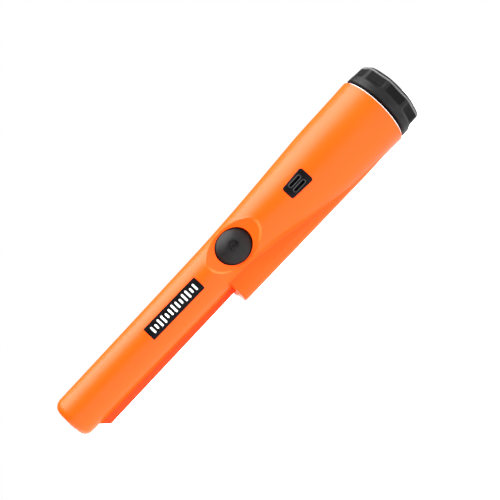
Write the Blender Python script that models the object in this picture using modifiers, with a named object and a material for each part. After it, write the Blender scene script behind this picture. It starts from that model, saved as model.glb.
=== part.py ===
"""Hand-held pinpointer probe: a metal detector wand with a button, a lamp and a screw-on battery cap.

X runs from the coil tip towards the battery cap, the button faces -Y and +Z points away from the lamp
housing, on whose flat underside the probe lies. The origin is on that surface, under the middle of the
probe. Inside the model, x is measured from the tip, because every piece hangs on an empty at the tip.
"""

import math

import bmesh
import bpy
from mathutils import Matrix

# Driving dimensions, in metres.
PROBE_LENGTH = 0.229
WALL = 0.002  # housing wall
GAP = 0.0003  # between touching pieces
SEAM = 0.0003  # between the two half shells
FACE_TILT = math.radians(-6.0)  # the button's side is turned this far towards +Z

# The housing: distance from the tip, height of the centre line, radius.
TIP_CENTRE = 0.0209
TIP_RADIUS = 0.0109
TIP_ROUNDING = 0.0045
STATIONS = [
    (0.102, 0.0218, 0.0122),
    (0.117, 0.0220, 0.0126),
    (0.127, 0.0216, 0.0135),
    (0.139, 0.0212, 0.0146),
    (0.154, 0.0203, 0.0165),
    (0.168, 0.0198, 0.0180),
    (0.180, 0.0196, 0.0190),
    (0.205, 0.0198, 0.0196),
    (0.215, 0.0199, 0.0199),
]
RIM_X = 0.215
CAP_CENTRE = 0.0199
RING_SIDES = 40

# The lamp housing under the grip, and the scraping blade under the tube.
LAMP_X = 0.102
LAMP_END = 0.190
LAMP_HALF_WIDTH = 0.0076
LAMP_ROUNDING = 0.0040
LENS_HEIGHT = 0.0058
LENS_RADIUS = 0.0015
BLADE_HALF_WIDTH = 0.0015
BLADE_OUTLINE = [(0.0070, 0.0125), (0.0136, 0.0060), (0.1030, 0.0070), (0.1030, 0.0135)]

# Button, in the saddle-shaped dish that surrounds it.
BUTTON_X = 0.1163
BUTTON_HALF_LENGTH = 0.0098
BUTTON_HALF_WIDTH = 0.0086
BUTTON_RIM = 0.0083  # distance of the rim from the centre line
BUTTON_CROWN = 0.0129
BUTTON_STEM_END = 0.00325
DISH_HALF_LENGTH = 0.0163
DISH_FLOOR = 0.0085
BOSS_BACK = 0.0063

# Speaker window and name plate.
WINDOW_X = 0.159
WINDOW_LENGTH = 0.0140
WINDOW_HALF_WIDTHS = (0.0036, 0.0044)
SLOT_LENGTH = 0.0072
SLOT_WIDTH = 0.0015
SLOT_OFFSET = 0.0016
PLATE_X = 0.0743
PLATE_LENGTH = 0.0350
PLATE_WIDTH = 0.0073
PLATE_RECESS = 0.0009

# Battery and cap. The cap screws out over this distance in whole turns.
BATTERY_X = 0.1748
BATTERY_LENGTH = 0.0462
BATTERY_WIDTH = 0.0265
BATTERY_DEPTH = 0.0175
SNAP_SPACING = 0.0127
CAP_X = 0.2165
CAP_RADIUS = 0.0195
CAP_END_RADIUS = 0.0189
CAP_BORE = 0.0157
SPIGOT_RADIUS = 0.0169
SPIGOT_LENGTH = 0.0087
SEAL_INNER_RADIUS = 0.0173
SEAL_OUTER_RADIUS = 0.0193
SEAL_THICKNESS = 0.0009
CAP_GRIPS = 9
GRIP_FLAT = 0.0184
GRIP_X = 0.2222
GRIP_START_ANGLE = math.radians(-52.0)

# Circuit board, facing the button.
BOARD_X = 0.084
BOARD_LENGTH = 0.080
BOARD_WIDTH = 0.017
BOARD_FRONT = 0.0010
BOARD_THICKNESS = 0.0012
BOARD_HEIGHT = 0.0215
SCREW_PLACES = (0.0910, 0.1565)
LEAD_SIDE = BOARD_FRONT + BOARD_THICKNESS / 2  # where the wires meet the board's edge

# Search coil in the tube, and the vibration motor in the lamp housing.
COIL_HEIGHT = 0.0212
BOBBIN_X = 0.008
BOBBIN_LENGTH = 0.062
BOBBIN_RADIUS = 0.0052
FLANGE_RADIUS = 0.0082
FLANGE_THICKNESS = 0.0012
CORE_RADIUS = 0.0042
MOTOR_X = 0.128
MOTOR_LENGTH = 0.015
MOTOR_RADIUS = 0.0034
MOTOR_HEIGHT = 0.0062


def empty_scene():
    for item in list(bpy.data.objects):
        bpy.data.objects.remove(item, do_unlink=True)
    for name in ("pinpointer_probe", "cutters"):
        bpy.context.scene.collection.children.link(bpy.data.collections.new(name))


empty_scene()
PARTS = bpy.data.collections["pinpointer_probe"]
CUTTERS = bpy.data.collections["cutters"]


def datum(name, location, tilt=0.0, parent=None):
    """An empty that other objects are placed from."""
    item = bpy.data.objects.new(name, None)
    item.parent = parent
    item.location = location
    item.rotation_euler = (tilt, 0.0, 0.0)
    PARTS.objects.link(item)
    return item


TIP = datum("tip_datum", (-PROBE_LENGTH / 2, 0.0, 0.0))


def plastic(name, colour, roughness, metallic=0.0, alpha=1.0):
    """A Principled material."""
    item = bpy.data.materials.new(name)
    item.use_nodes = True
    shader = item.node_tree.nodes["Principled BSDF"]
    shader.inputs["Base Color"].default_value = (*colour, 1.0)
    shader.inputs["Roughness"].default_value = roughness
    shader.inputs["Metallic"].default_value = metallic
    shader.inputs["Alpha"].default_value = alpha
    return item


ORANGE = plastic("orange_abs", (0.99, 0.16, 0.025), 0.42)
BLACK = plastic("black_abs", (0.03, 0.03, 0.032), 0.5)
PLATE_BLACK = plastic("plate_black", (0.008, 0.008, 0.009), 0.35)
BUTTON_RUBBER = plastic("button_rubber", (0.045, 0.043, 0.045), 0.55)
WHITE_SEAL = plastic("white_silicone", (0.85, 0.85, 0.84), 0.5)
CLEAR = plastic("clear_acrylic", (0.95, 0.88, 0.85), 0.1, alpha=0.5)
BOARD_GREEN = plastic("board_green", (0.02, 0.16, 0.06), 0.45)
CHIP_BLACK = plastic("chip_black", (0.02, 0.02, 0.022), 0.6)
STEEL = plastic("bright_steel", (0.6, 0.6, 0.62), 0.3, 1.0)
COPPER = plastic("enamelled_copper", (0.65, 0.25, 0.08), 0.35, 1.0)
FERRITE = plastic("ferrite", (0.06, 0.06, 0.065), 0.7)
FOAM = plastic("grey_foam", (0.22, 0.22, 0.23), 0.95)
NYLON = plastic("white_nylon", (0.75, 0.74, 0.7), 0.5)
WIRE_RED = plastic("wire_red", (0.5, 0.02, 0.02), 0.4)
WIRE_BLACK = plastic("wire_black", (0.02, 0.02, 0.02), 0.4)
BATTERY_CASE = plastic("battery_case", (0.12, 0.12, 0.13), 0.3, 0.6)


def place(name, mesh, material=None, location=(0, 0, 0), rotation=(0, 0, 0), parent=TIP):
    """A new object: a part if it has a material, and otherwise a cutter."""
    item = bpy.data.objects.new(name, mesh)
    item.parent = parent
    item.location = location
    item.rotation_euler = rotation
    if material is None:
        item.hide_render = True
        item.display_type = "WIRE"
        CUTTERS.objects.link(item)
    else:
        mesh.materials.append(material)
        PARTS.objects.link(item)
    return item


def finished(bm, name, smooth_angle=None):
    """Turns a bmesh into a mesh with its faces pointing out."""
    bmesh.ops.recalc_face_normals(bm, faces=bm.faces)
    mesh = bpy.data.meshes.new(name)
    bm.to_mesh(mesh)
    bm.free()
    if smooth_angle is not None:
        mesh.shade_smooth()
        mesh.set_sharp_from_angle(angle=math.radians(smooth_angle))
    return mesh


def block(name, size, centre=(0, 0, 0)):
    """A box mesh."""
    bm = bmesh.new()
    shape = Matrix.Translation(centre) @ Matrix.Diagonal((*size, 1.0))
    bmesh.ops.create_cube(bm, size=1.0, matrix=shape)
    return finished(bm, name)


TURNS = {
    "X": Matrix.Rotation(math.pi / 2, 4, "Y"),
    "Y": Matrix.Rotation(-math.pi / 2, 4, "X"),
    "Z": Matrix(),
}
ALONG = (0, math.pi / 2, 0)  # turns +Z to +X
OUTWARD = (math.pi / 2, 0, 0)  # turns +Z to -Y


def rod(name, radius, length, axis="X", sides=20):
    """A cylinder that starts at the origin and runs along the axis."""
    bm = bmesh.new()
    shape = TURNS[axis] @ Matrix.Translation((0, 0, length / 2))
    bmesh.ops.create_cone(
        bm, cap_ends=True, segments=sides, radius1=radius, radius2=radius, depth=length, matrix=shape
    )
    return finished(bm, name, 35)


def turned(name, material, profile, location, rotation=ALONG, closed=False, sides=32, parent=TIP):
    """A turned piece: (radius, height) points down its outer side, turned by a Screw modifier."""
    bm = bmesh.new()
    points = [bm.verts.new((radius, 0.0, height)) for radius, height in profile]
    pairs = list(zip(points, points[1:]))
    if closed:
        pairs.append((points[-1], points[0]))
    for pair in pairs:
        bm.edges.new(pair)
    mesh = bpy.data.meshes.new(name)
    bm.to_mesh(mesh)
    bm.free()
    item = place(name, mesh, material, location, rotation, parent)
    screw = item.modifiers.new("turn", "SCREW")
    screw.steps = sides
    screw.render_steps = sides
    screw.use_merge_vertices = True
    screw.merge_threshold = 0.00001
    screw.use_smooth_shade = True
    return item


def boolean(item, cutter, operation="DIFFERENCE"):
    """Cuts, joins or keeps the overlap, with a Boolean modifier."""
    modifier = item.modifiers.new(cutter.name, "BOOLEAN")
    modifier.object = cutter
    modifier.operation = operation
    modifier.solver = "EXACT"


def rounded(item, width):
    """Rounds an object's sharp edges."""
    modifier = item.modifiers.new("rounding", "BEVEL")
    modifier.width = width
    modifier.segments = 2
    modifier.limit_method = "ANGLE"
    modifier.angle_limit = math.radians(40.0)


def wire(name, material, points, radius=0.00025):
    """A wire through the points, in metres from the tip datum."""
    curve = bpy.data.curves.new(name, "CURVE")
    curve.dimensions = "3D"
    curve.bevel_depth = radius
    curve.bevel_resolution = 2
    curve.use_fill_caps = True
    spline = curve.splines.new("POLY")
    spline.points.add(len(points) - 1)
    for point, (x, y, z) in zip(spline.points, points):
        point.co = (x, y, z, 1.0)
    curve.materials.append(material)
    item = bpy.data.objects.new(name, curve)
    item.parent = TIP
    PARTS.objects.link(item)
    return item


def outline_mesh(name, points, half_thickness):
    """A flat outline in X and Y, thick along Z, as a closed mesh made from a filled curve."""
    curve = bpy.data.curves.new(name, "CURVE")
    curve.dimensions = "2D"
    curve.fill_mode = "BOTH"
    curve.extrude = half_thickness
    spline = curve.splines.new("POLY")
    spline.points.add(len(points) - 1)
    spline.use_cyclic_u = True
    for point, (x, y) in zip(spline.points, points):
        point.co = (x, y, 0.0, 1.0)
    guide = bpy.data.objects.new(name, curve)
    CUTTERS.objects.link(guide)
    graph = bpy.context.evaluated_depsgraph_get()
    flat = bpy.data.meshes.new_from_object(guide.evaluated_get(graph))
    bm = bmesh.new()
    bm.from_mesh(flat)
    bmesh.ops.remove_doubles(bm, verts=bm.verts, dist=0.00001)
    bpy.data.objects.remove(guide, do_unlink=True)
    bpy.data.meshes.remove(flat)
    return finished(bm, name)


def corner_arc(x, y, radius, start):
    """Points of a quarter circle about (x, y), anticlockwise from the start angle in degrees."""
    angles = [math.radians(start + 30.0 * i) for i in range(4)]
    return [(x + radius * math.cos(a), y + radius * math.sin(a)) for a in angles]


def section(x):
    """Height of the housing's centre line and its radius, at a distance from the tip."""
    rows = [(0.0, TIP_CENTRE, TIP_RADIUS)] + STATIONS
    for (x0, height0, radius0), (x1, height1, radius1) in zip(rows, rows[1:]):
        if x <= x1:
            share = (x - x0) / (x1 - x0)
            return height0 + share * (height1 - height0), radius0 + share * (radius1 - radius0)
    return rows[-1][1:]


def loft(name, rings, sides=RING_SIDES):
    """A closed tube through rings of (x, height, radius)."""
    bm = bmesh.new()
    x, height, radius = rings[0]
    facing = Matrix.Translation((x, 0, height)) @ Matrix.Rotation(math.pi / 2, 4, "Y")
    bmesh.ops.create_circle(bm, cap_ends=True, segments=sides, radius=radius, matrix=facing)
    edges = list(bm.edges)
    for next_x, next_height, next_radius in rings[1:]:
        grown = bmesh.ops.extrude_edge_only(bm, edges=edges)["geom"]
        verts = [part for part in grown if isinstance(part, bmesh.types.BMVert)]
        edges = [part for part in grown if isinstance(part, bmesh.types.BMEdge)]
        share = next_radius / radius
        change = Matrix.Translation((next_x, 0, next_height)) @ Matrix.Scale(share, 4)
        bmesh.ops.transform(bm, matrix=change @ Matrix.Translation((-x, 0, -height)), verts=verts)
        x, height, radius = next_x, next_height, next_radius
    bmesh.ops.contextual_create(bm, geom=edges)
    return finished(bm, name, 50)


def housing_form(name, offset=0.0):
    """The housing's outer form with its rounded tip, grown or shrunk by an offset."""
    rounding = TIP_ROUNDING + offset
    steps = 4
    rings = []
    for step in range(steps + 1):
        angle = math.pi / 2 * step / steps
        x = -offset + rounding * (1 - math.cos(angle))
        inset = rounding * (1 - math.sin(angle))
        height, radius = section(max(x, 0.0))
        rings.append((x, height, radius + offset - inset))
    rings += [(x, height, radius + offset) for x, height, radius in STATIONS]
    return loft(name, rings)


def cavity():
    """The hollow inside the housing, open at the cap end, with the lamp housing's hollow joined on."""
    narrow = TIP_RADIUS - WALL
    rings = [(WALL, TIP_CENTRE, narrow - 0.002), (WALL + 0.0025, TIP_CENTRE, narrow)]
    rings += [(x, height, radius - WALL) for x, height, radius in STATIONS]
    rings.append((RIM_X + 0.002, CAP_CENTRE, STATIONS[-1][2] - WALL))
    hollow = place("housing_hollow", loft("housing_hollow", rings, 32))
    inner = LAMP_HALF_WIDTH - 0.0016
    size = (0.070, 2 * inner, 0.014)
    lamp_hollow = place("lamp_hollow", block("lamp_hollow", size, (LAMP_X + WALL + 0.035, 0, 0.0088)))
    boolean(hollow, lamp_hollow, "UNION")
    boss = block("button_boss", (0.036, 0.010, 0.026), (0, -BOSS_BACK - 0.005, 0))
    boolean(hollow, place("button_boss", boss, parent=BUTTON_FACE))
    return hollow


def face_datum(name, x):
    """An empty on the centre line, turned so that its -Y points out of the button's side."""
    return datum(name, (x, 0.0, section(x)[0]), FACE_TILT, TIP)


BUTTON_FACE = face_datum("button_face", BUTTON_X)
WINDOW_FACE = face_datum("window_face", WINDOW_X)
PLATE_FACE = face_datum("plate_face", PLATE_X)


def dish_cutter():
    """A cylinder across the probe that leaves the saddle-shaped dish around the button."""
    depth = section(BUTTON_X)[1] - DISH_FLOOR
    radius = (DISH_HALF_LENGTH**2 + depth**2) / (2 * depth)
    mesh = rod("button_dish", radius, 0.06, "Z", 72)
    return place("button_dish", mesh, location=(0, -DISH_FLOOR - radius, -0.03), parent=BUTTON_FACE)


def button_hole():
    squash = (BUTTON_HALF_WIDTH + GAP) / (BUTTON_HALF_LENGTH + GAP)
    bm = bmesh.new()
    turn = Matrix.Rotation(math.pi / 2, 4, "X")
    shape = turn @ Matrix.Diagonal((1.0, squash, 1.0, 1.0))
    bmesh.ops.create_cone(
        bm,
        cap_ends=True,
        segments=40,
        radius1=BUTTON_HALF_LENGTH + GAP,
        radius2=BUTTON_HALF_LENGTH + GAP,
        depth=0.016,
        matrix=shape,
    )
    mesh = finished(bm, "button_hole")
    return place("button_hole", mesh, location=(0, -0.0135, 0), parent=BUTTON_FACE)


def window_outline(grow):
    """The speaker window's outline: wider at the cap end, with rounded corners."""
    half = WINDOW_LENGTH / 2 + grow
    small, large = (width + grow for width in WINDOW_HALF_WIDTHS)
    corner = 0.0014
    return (
        corner_arc(half - corner, large - corner, corner, 0)
        + corner_arc(-half + corner, small - corner, corner, 90)
        + corner_arc(-half + corner, -small + corner, corner, 180)
        + corner_arc(half - corner, -large + corner, corner, 270)
    )


def window_prism(name, grow):
    """The speaker window's outline as a block through the front wall."""
    mesh = outline_mesh(name, window_outline(grow), 0.0045)
    mesh.transform(Matrix.Rotation(math.pi / 2, 4, "X"))
    mesh.transform(Matrix.Translation((0, -0.0182, 0)))
    return mesh


def plate_block(name, grow):
    size = (PLATE_LENGTH + 2 * grow, 0.006, PLATE_WIDTH + 2 * grow)
    return block(name, size, (0, -section(PLATE_X)[1], 0))


def plate_recess():
    recess = place("plate_recess", plate_block("plate_recess", GAP), parent=PLATE_FACE)
    floor = place("recess_floor", housing_form("recess_floor", -PLATE_RECESS))
    boolean(recess, floor)
    return recess


def shell(name, side, hollow, cuts):
    """One half of the housing: side is -1 for the button's side and +1 for the back."""
    item = place(name, housing_form(name), ORANGE)
    boolean(item, bpy.data.objects["lamp_block"], "UNION")
    boolean(item, bpy.data.objects["blade"], "UNION")
    boolean(item, hollow)
    for cutter, operation in cuts:
        boolean(item, cutter, operation)
    half = block(name + "_half", (0.26, 0.05, 0.06), (0.11, side * (0.025 + SEAM / 2), 0.02))
    boolean(item, place(name + "_half", half), "INTERSECT")
    return item


def lamp_block():
    """The lamp housing's outer form, with its long lower edges rounded."""
    length = LAMP_END - LAMP_X
    mesh = block("lamp_block", (length, 2 * LAMP_HALF_WIDTH, 0.018), (LAMP_X + length / 2, 0, 0.009))
    bm = bmesh.new()
    bm.from_mesh(mesh)
    low = []
    for edge in bm.edges:
        start, end = (vert.co for vert in edge.verts)
        if max(start.z, end.z) < GAP and abs(start.x - end.x) > GAP:
            low.append(edge)
    bmesh.ops.bevel(bm, geom=low, offset=LAMP_ROUNDING, segments=5, profile=0.5, affect="EDGES")
    bm.to_mesh(mesh)
    bm.free()
    return place("lamp_block", mesh)


def blade():
    mesh = outline_mesh("blade", BLADE_OUTLINE, BLADE_HALF_WIDTH)
    mesh.transform(Matrix.Rotation(math.pi / 2, 4, "X"))
    return place("blade", mesh)


def screw_posts():
    """Posts on the back shell that the board's screws go into, and their pilot holes."""
    cuts = []
    for number, x in enumerate(SCREW_PLACES, 1):
        start = BOARD_FRONT + BOARD_THICKNESS + GAP
        length = section(x)[1] - 0.0008 - start
        post = rod(f"post_{number}", 0.0024, length, "Y", 14)
        cuts.append((place(f"post_{number}", post, location=(x, start, BOARD_HEIGHT)), "UNION"))
        pilot = rod(f"pilot_{number}", 0.0011, 0.0060, "Y", 12)
        cutter = place(f"pilot_{number}", pilot, location=(x, start - 0.001, BOARD_HEIGHT))
        cuts.append((cutter, "DIFFERENCE"))
    return cuts


def lens_hole():
    mesh = rod("lens_hole", LENS_RADIUS + GAP, 0.006, "X", 20)
    return place("lens_hole", mesh, location=(LAMP_X - 0.002, 0, LENS_HEIGHT))


def housing():
    """The two half shells."""
    lamp_block()
    blade()
    hollow = cavity()
    hole = lens_hole()
    window = place("window_hole", window_prism("window_hole", GAP), parent=WINDOW_FACE)
    front = [dish_cutter(), button_hole(), window, plate_recess(), hole]
    shell("front_shell", -1, hollow, [(cutter, "DIFFERENCE") for cutter in front])
    shell("back_shell", 1, hollow, screw_posts() + [(hole, "DIFFERENCE")])


def speaker():
    """Grille, splash membrane and buzzer behind the window in the grip."""
    grille = place("speaker_grille", window_prism("speaker_grille", 0.0), PLATE_BLACK, parent=WINDOW_FACE)
    skin = place("grille_skin", housing_form("grille_skin", 0.00025))
    boolean(grille, skin, "INTERSECT")
    for number, side in enumerate((-1, 1), 1):
        size = (SLOT_LENGTH, 0.012, SLOT_WIDTH)
        slot = block(f"grille_slot_{number}", size, (0, -0.0165, side * SLOT_OFFSET))
        boolean(grille, place(f"grille_slot_{number}", slot, parent=WINDOW_FACE))
    membrane = rod("grille_membrane", 0.0050, 0.0003, "Y", 20)
    place("grille_membrane", membrane, WHITE_SEAL, (0, -0.0133, 0), parent=WINDOW_FACE)
    can = rod("buzzer", 0.0062, 0.0050, "Y", 24)
    place("buzzer", can, BLACK, (0, -0.0126, 0), parent=WINDOW_FACE)


def name_plate():
    item = place("name_plate", plate_block("name_plate", 0.0), PLATE_BLACK, parent=PLATE_FACE)
    skin = place("plate_skin", housing_form("plate_skin", 0.0001))
    back = place("plate_back", housing_form("plate_back", GAP - PLATE_RECESS))
    boolean(item, skin, "INTERSECT")
    boolean(item, back)


def power_button():
    """Oval rubber button: a coned crown with a dimple, a skirt, two retaining ears and a stem."""
    radius = BUTTON_HALF_LENGTH
    crown, rim = BUTTON_CROWN, BUTTON_RIM
    profile = [
        (0.0, crown - 0.0009),
        (0.0016, crown - 0.0008),
        (0.0026, crown - 0.0001),
        (0.0034, crown),
        (0.0062, crown - 0.0012),
        (radius - 0.0011, rim + 0.0014),
        (radius - 0.0002, rim + 0.0005),
        (radius, rim),
        (radius, BOSS_BACK - 0.0004),
        (0.0016, BOSS_BACK - 0.0004),
        (0.0016, BUTTON_STEM_END),
        (0.0, BUTTON_STEM_END),
    ]
    item = turned("power_button", BUTTON_RUBBER, profile, (0, 0, 0), OUTWARD, sides=36, parent=BUTTON_FACE)
    item.scale = (1.0, BUTTON_HALF_WIDTH / BUTTON_HALF_LENGTH, 1.0)
    ears = block("button_ears", (0.0225, 0.0010, 0.0100), (0, -BOSS_BACK + GAP + 0.0005, 0))
    boolean(item, place("button_ears", ears, parent=BUTTON_FACE), "UNION")


def lamp():
    """Clear lens in the step under the grip, with the light-emitting diode behind it."""
    lens = [
        (0.0, 0.0048),
        (0.0023, 0.0048),
        (0.0023, 0.0040),
        (LENS_RADIUS, 0.0040),
        (LENS_RADIUS, 0.0005),
        (LENS_RADIUS - 0.0005, 0.0),
        (0.0, 0.0),
    ]
    turned("lamp_lens", CLEAR, lens, (LAMP_X - 0.0015, 0, LENS_HEIGHT), sides=20)
    diode = [
        (0.0, 0.0048),
        (0.0019, 0.0048),
        (0.0019, 0.0040),
        (0.0015, 0.0040),
        (0.0015, 0.0012),
        (0.0008, 0.0002),
        (0.0, 0.0),
    ]
    turned("lamp_diode", CLEAR, diode, (LAMP_X + 0.0037, 0, LENS_HEIGHT), sides=16)
    for name, side in (("lamp_lead_plus", 1), ("lamp_lead_minus", -1)):
        y = side * 0.0009
        route = [
            (LAMP_X + 0.0088, y, LENS_HEIGHT),
            (LAMP_X + 0.0115, y, LENS_HEIGHT + 0.0008),
            (LAMP_X + 0.0130, y + 0.0006, LENS_HEIGHT + 0.0030),
            (LAMP_X + 0.0135, LEAD_SIDE + y / 2, BOARD_HEIGHT - BOARD_WIDTH / 2 - GAP),
        ]
        wire(name, STEEL, route)


def board_screws(item):
    """The two screws that hold the board on the back shell's posts, and their holes."""
    profile = [
        (0.0, 0.0015),
        (0.0014, 0.0014),
        (0.0021, 0.0007),
        (0.0021, 0.0),
        (0.0008, 0.0),
        (0.0008, -0.0055),
        (0.0, -0.0065),
    ]
    for number, x in enumerate(SCREW_PLACES, 1):
        hole = rod(f"board_hole_{number}", 0.0013, 0.004, "Y", 12)
        boolean(item, place(f"board_hole_{number}", hole, location=(x, 0, BOARD_HEIGHT)))
        seat = (x, BOARD_FRONT - GAP, BOARD_HEIGHT)
        turned(f"board_screw_{number}", STEEL, profile, seat, OUTWARD, sides=12)


def board():
    """Circuit board with its main components."""
    centre = BOARD_X + BOARD_LENGTH / 2
    size = (BOARD_LENGTH, BOARD_THICKNESS, BOARD_WIDTH)
    middle = BOARD_FRONT + BOARD_THICKNESS / 2
    item = place("main_board", block("main_board", size), BOARD_GREEN, (centre, middle, BOARD_HEIGHT))
    board_screws(item)
    chips = [
        ("controller_chip", 0.1370, 0.0225, (0.0070, 0.0012, 0.0070)),
        ("amplifier_chip", 0.1000, 0.0225, (0.0050, 0.0012, 0.0040)),
        ("voltage_regulator", 0.1455, 0.0260, (0.0032, 0.0013, 0.0016)),
        ("crystal_can", 0.1460, 0.0195, (0.0050, 0.0016, 0.0032)),
    ]
    for name, x, height, size in chips:
        location = (x, BOARD_FRONT - GAP - size[1] / 2, height)
        place(name, block(name, size), STEEL if name == "crystal_can" else CHIP_BLACK, location)
    back = BOARD_FRONT + BOARD_THICKNESS + GAP
    capacitor = rod("filter_capacitor", 0.0025, 0.0065, "Y", 16)
    place("filter_capacitor", capacitor, BLACK, (0.1300, back, 0.0235))


def switch():
    """Tact switch under the button's stem."""
    drop = math.tan(-FACE_TILT) * BUTTON_STEM_END
    height = section(BUTTON_X)[0] + drop
    front = BOARD_FRONT - GAP
    depth, travel = 0.0018, 0.0009
    body = block("tact_switch", (0.006, depth, 0.006))
    place("tact_switch", body, CHIP_BLACK, (BUTTON_X, front - depth / 2, height))
    plunger = rod("switch_plunger", 0.0016, travel, "Y", 14)
    place("switch_plunger", plunger, NYLON, (BUTTON_X, front - depth - GAP - travel, height))


def vibration_motor():
    """Motor lying in a cradle in the lamp housing, with its two leads."""
    height = MOTOR_HEIGHT
    motor = rod("vibration_motor", MOTOR_RADIUS, MOTOR_LENGTH)
    place("vibration_motor", motor, STEEL, (MOTOR_X, 0, height))
    mesh = block("motor_cradle", (0.009, 0.0092, 0.0035))
    cradle = place("motor_cradle", mesh, BLACK, (MOTOR_X + 0.0075, 0, 0.00385 + GAP / 2))
    bed = rod("cradle_bed", MOTOR_RADIUS + GAP, 0.012)
    boolean(cradle, place("cradle_bed", bed, location=(MOTOR_X + 0.0015, 0, height)))
    start = MOTOR_X + MOTOR_LENGTH + GAP
    leads = (("motor_lead_red", WIRE_RED, 0.0012), ("motor_lead_black", WIRE_BLACK, -0.0012))
    for name, material, y in leads:
        route = [
            (start, y, height),
            (start + 0.0025, y, height + 0.0004),
            (start + 0.0040, y + 0.0006, height + 0.0030),
            (start + 0.0042, LEAD_SIDE + y / 2, BOARD_HEIGHT - BOARD_WIDTH / 2 - GAP),
        ]
        wire(name, material, route)


def motor_rotor():
    """The motor's shaft with its off-centre weight, on an empty on the motor's axis."""
    axis = datum("motor_axis", (MOTOR_X - GAP, 0, MOTOR_HEIGHT), parent=TIP)
    place("motor_shaft", rod("motor_shaft", 0.0005, 0.0065, sides=12), STEEL, (-0.0065, 0, 0), parent=axis)
    disc = rod("motor_weight", 0.0030, 0.0042, sides=24)
    weight = place("motor_weight", disc, STEEL, (-0.0055, 0, 0), parent=axis)
    bore = rod("weight_bore", 0.0007, 0.01, sides=12)
    boolean(weight, place("weight_bore", bore, location=(-0.008, 0, 0), parent=axis))
    upper = block("weight_upper", (0.010, 0.008, 0.004), (-0.003, 0, 0.0032))
    boolean(weight, place("weight_upper", upper, parent=axis))


def bobbin():
    """Nylon bobbin with three flanges, turned about its own axis."""
    middle = BOBBIN_LENGTH / 2
    profile = []
    for centre in (BOBBIN_LENGTH - FLANGE_THICKNESS / 2, middle, FLANGE_THICKNESS / 2):
        top, bottom = centre + FLANGE_THICKNESS / 2, centre - FLANGE_THICKNESS / 2
        profile += [(BOBBIN_RADIUS, top), (FLANGE_RADIUS, top)]
        profile += [(FLANGE_RADIUS, bottom), (BOBBIN_RADIUS, bottom)]
    bore = CORE_RADIUS + GAP
    profile = profile[1:-1] + [(bore, 0.0), (bore, BOBBIN_LENGTH)]
    turned("coil_bobbin", NYLON, profile, (BOBBIN_X, 0, COIL_HEIGHT), closed=True, sides=28)


def windings():
    """The transmit winding nearer the tip and the receive winding behind it."""
    length = BOBBIN_LENGTH / 2 - 1.5 * FLANGE_THICKNESS - 2 * GAP
    second = BOBBIN_LENGTH / 2 + FLANGE_THICKNESS / 2 + GAP
    inside = BOBBIN_RADIUS + GAP
    for name, offset, radius in (
        ("transmit_coil", FLANGE_THICKNESS + GAP, 0.0076),
        ("receive_coil", second, 0.0072),
    ):
        ring = [(radius, length), (radius, 0.0), (inside, 0.0), (inside, length)]
        turned(name, COPPER, ring, (BOBBIN_X + offset, 0, COIL_HEIGHT), closed=True, sides=28)


def search_coil():
    """Ferrite core, bobbin with its two windings, and the foam pad that holds it in the tip."""
    core = rod("ferrite_core", CORE_RADIUS, BOBBIN_LENGTH + 0.002)
    place("ferrite_core", core, FERRITE, (BOBBIN_X - 0.001, 0, COIL_HEIGHT))
    bobbin()
    windings()
    place("tip_pad", rod("tip_pad", 0.0062, 0.0036), FOAM, (WALL + GAP + 0.0005, 0, COIL_HEIGHT))
    end = BOBBIN_X + BOBBIN_LENGTH + GAP
    for name, y, height in (("coil_lead_inner", -0.0030, 0.0250), ("coil_lead_outer", 0.0030, 0.0262)):
        side = LEAD_SIDE + y / 6
        route = [
            (end, y, height),
            (end + 0.0040, y, height + 0.0006),
            (end + 0.0090, side, height),
            (BOARD_X - GAP, side, height),
        ]
        wire(name, COPPER, route, 0.0002)


def contact_leaf(name):
    """A sprung contact: a flat strip bent up in its middle."""
    upper = [(0.0, -0.0040), (0.0003, -0.0040), (0.0003, -0.0022), (0.0013, -0.0006), (0.0013, 0.0006)]
    lower = [(0.0003, 0.0022), (0.0003, 0.0040), (0.0, 0.0040), (0.0, 0.0020), (0.0009, 0.0005)]
    return outline_mesh(name, upper + lower + [(0.0009, -0.0005), (0.0, -0.0020)], 0.0022)


def contacts():
    """Contact block in front of the battery, with its two sprung leaves and their wires."""
    block_x = 0.1690
    depth = 0.0018
    size = (depth, 0.0160, 0.0240)
    place("contact_block", block("contact_block", size), BLACK, (block_x, 0, CAP_CENTRE))
    face = block_x + depth / 2 + GAP
    start = BOARD_X + BOARD_LENGTH + GAP
    end = block_x - depth / 2 - GAP
    poles = (("plus", 1, "red", WIRE_RED), ("minus", -1, "black", WIRE_BLACK))
    for pole, side, colour, material in poles:
        name = "contact_" + pole
        place(name, contact_leaf(name), STEEL, (face, 0, CAP_CENTRE + side * SNAP_SPACING / 2))
        height = CAP_CENTRE + side * 0.0050
        route = [
            (start, LEAD_SIDE, height),
            (start + 0.0012, LEAD_SIDE + 0.0002, height),
            (end - 0.0010, LEAD_SIDE + 0.0010, height),
            (end, LEAD_SIDE + 0.0010, height),
        ]
        wire("battery_lead_" + colour, material, route, 0.0004)


def battery():
    """Nine-volt block battery with its two snap terminals."""
    size = (BATTERY_LENGTH, BATTERY_DEPTH, BATTERY_WIDTH)
    centre = (BATTERY_X + BATTERY_LENGTH / 2, 0, CAP_CENTRE)
    case = place("battery", block("battery", size), BATTERY_CASE, centre)
    rounded(case, 0.0020)
    start = BATTERY_X - GAP - 0.0024
    plus = rod("battery_snap_plus", 0.0029, 0.0024, sides=18)
    place("battery_snap_plus", plus, STEEL, (start, 0, CAP_CENTRE + SNAP_SPACING / 2))
    minus = rod("battery_snap_minus", 0.0042, 0.0024, sides=6)
    place("battery_snap_minus", minus, STEEL, (start, 0, CAP_CENTRE - SNAP_SPACING / 2))


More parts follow.
